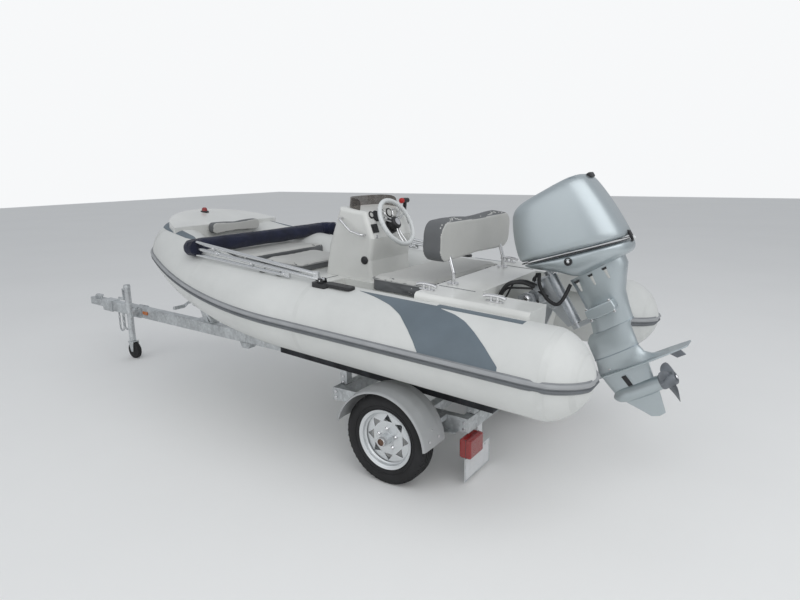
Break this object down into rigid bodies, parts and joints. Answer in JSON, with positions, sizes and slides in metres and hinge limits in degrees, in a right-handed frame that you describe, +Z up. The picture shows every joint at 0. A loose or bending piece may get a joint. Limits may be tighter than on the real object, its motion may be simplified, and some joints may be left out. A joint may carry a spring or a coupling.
{
  "type": "rigid inflatable boat with outboard on a single-axle trailer",
  "caption": "Console rigid inflatable boat with grey-trimmed tubes, folded bimini and tilted outboard, parked on its galvanised single-axle trailer.",
  "frame": {"origin": "on the floor, under the middle of the whole part's box", "axes": "+X to the bow and the trailer's coupler, +Y to port, +Z up"},
  "size_m": [5.4651, 1.7898, 1.6448],
  "materials": {
    "galvanised_steel": "dull galvanised, spangled",
    "fender_plastic": "matte, ribbed",
    "bunk_carpet": "short pile",
    "black_plastic": "satin",
    "lamp_plastic": "glossy red lens",
    "tyre_rubber": "matte, treaded",
    "silver_paint": "metallic, clear coated",
    "bracket_metal": "satin",
    "prop_metal": "satin",
    "tube_fabric": "satin coated fabric",
    "rail_rubber": "satin",
    "gelcoat": "glossy",
    "seat_vinyl": "satin, stitched",
    "stainless": "polished",
    "boot_canvas": "woven canvas",
    "smoked_screen": "smoked",
    "helm_white": "glossy"
  },
  "bodies": {
    "boat_and_trailer": {"tongue": "galvanised_steel", "frame": "galvanised_steel", "axle": "galvanised_steel", "fender_port": "fender_plastic", "fender_starboard": "fender_plastic", "bunk_port": "bunk_carpet", "bunk_starboard": "bunk_carpet", "winch_stand": "galvanised_steel", "coupler": "galvanised_steel", "safety_chains": "galvanised_steel", "plate_panel": "black_plastic", "tail_lamps": "lamp_plastic", "jack_clamp": "galvanised_steel", "tube_port": "tube_fabric", "tube_starboard": "tube_fabric", "tube_bow": "tube_fabric", "rub_rail": "rail_rubber", "hull": "gelcoat", "transom": "gelcoat", "cockpit_sole": "gelcoat", "aft_deck": "gelcoat", "backrest_posts": "stainless", "backrest": "seat_vinyl", "fore_deck": "gelcoat", "bow_cushion": "seat_vinyl", "bow_backrest": "seat_vinyl", "bow_cap": "gelcoat", "console": "gelcoat", "windscreen": "smoked_screen", "console_rail": "stainless", "helm_bezel": "black_plastic", "control_box": "black_plastic", "cleats": "stainless", "bimini_hinges": "black_plastic", "clamp_bracket": "bracket_metal"},
    "wheel_port": {"tyre_port": "tyre_rubber", "rim_port": "silver_paint"},
    "wheel_starboard": {"tyre_starboard": "tyre_rubber", "rim_starboard": "silver_paint"},
    "jack": {"jack_post": "galvanised_steel"},
    "jack_caster": {"jack_fork": "galvanised_steel"},
    "jack_roller": {"jack_wheel": "black_plastic"},
    "bench_seat": {"bench_lid": "gelcoat", "aft_cushion": "seat_vinyl"},
    "fore_seat": {"fore_lid": "gelcoat", "fore_cushion": "seat_vinyl"},
    "bimini": {"bimini_frame": "stainless", "bimini_boot": "boot_canvas"},
    "helm": {"helm_wheel": "helm_white"},
    "outboard_bracket": {"swivel_bracket": "bracket_metal"},
    "outboard": {"engine_leg": "silver_paint", "lower_cowl": "silver_paint", "cowl": "silver_paint"},
    "screw": {"propeller": "prop_metal"}
  },
  "joints": [
    {"name": "wheel_port_spin", "type": "hinge", "parent": "boat_and_trailer", "child": "wheel_port", "pos_m": [-1.377, 0.69, 0.2575], "axis": [0, 1, 0], "continuous": true},
    {"name": "wheel_starboard_spin", "type": "hinge", "parent": "boat_and_trailer", "child": "wheel_starboard", "pos_m": [-1.377, -0.69, 0.2575], "axis": [0, 1, 0], "continuous": true},
    {"name": "jack_swing", "type": "hinge", "parent": "boat_and_trailer", "child": "jack", "pos_m": [1.933, 0.11, 0.425], "axis": [0, 1, 0], "range_deg": [0, 90]},
    {"name": "jack_caster", "type": "hinge", "parent": "jack", "child": "jack_caster", "pos_m": [1.933, 0.11, 0.17], "axis": [0, 0, 1], "continuous": true},
    {"name": "jack_wheel_spin", "type": "hinge", "parent": "jack_caster", "child": "jack_roller", "pos_m": [1.915, 0.11, 0.076], "axis": [0, 1, 0], "continuous": true},
    {"name": "bench_seat_lift", "type": "hinge", "parent": "boat_and_trailer", "child": "bench_seat", "pos_m": [-1.12376, 0, 1.00264], "axis": [0, 1, 0], "range_deg": [0, 85]},
    {"name": "fore_seat_lift", "type": "hinge", "parent": "boat_and_trailer", "child": "fore_seat", "pos_m": [-0.38983, 0, 1.00579], "axis": [0, -1, 0], "range_deg": [0, 80]},
    {"name": "bimini_swing", "type": "hinge", "parent": "boat_and_trailer", "child": "bimini", "pos_m": [-0.94771, 0, 1.09199], "axis": [0, -1, 0], "range_deg": [0, 100]},
    {"name": "outboard_tilt", "type": "hinge", "parent": "boat_and_trailer", "child": "outboard_bracket", "pos_m": [-1.91679, 0, 0.97983], "axis": [0, 1, 0], "range_deg": [-34.3, 25]},
    {"name": "outboard_steer", "type": "hinge", "parent": "outboard_bracket", "child": "outboard", "pos_m": [-2.03688, 0, 1.05179], "axis": [0.514, 0, 0.8578], "range_deg": [-40, 40]},
    {"name": "helm_turn", "type": "hinge", "parent": "boat_and_trailer", "child": "helm", "pos_m": [-0.92071, -0.085, 1.34802], "axis": [-0.8777, 0, 0.4792], "range_deg": [-540, 540]},
    {"name": "propeller_spin", "type": "hinge", "parent": "outboard", "child": "screw", "pos_m": [-2.64836, 0, 0.61496], "axis": [-0.8578, 0, 0.514], "continuous": true}
  ],
  "couplings": [
    {"joint": "helm_turn", "follows": "outboard_steer", "ratio": -13.5}
  ]
}
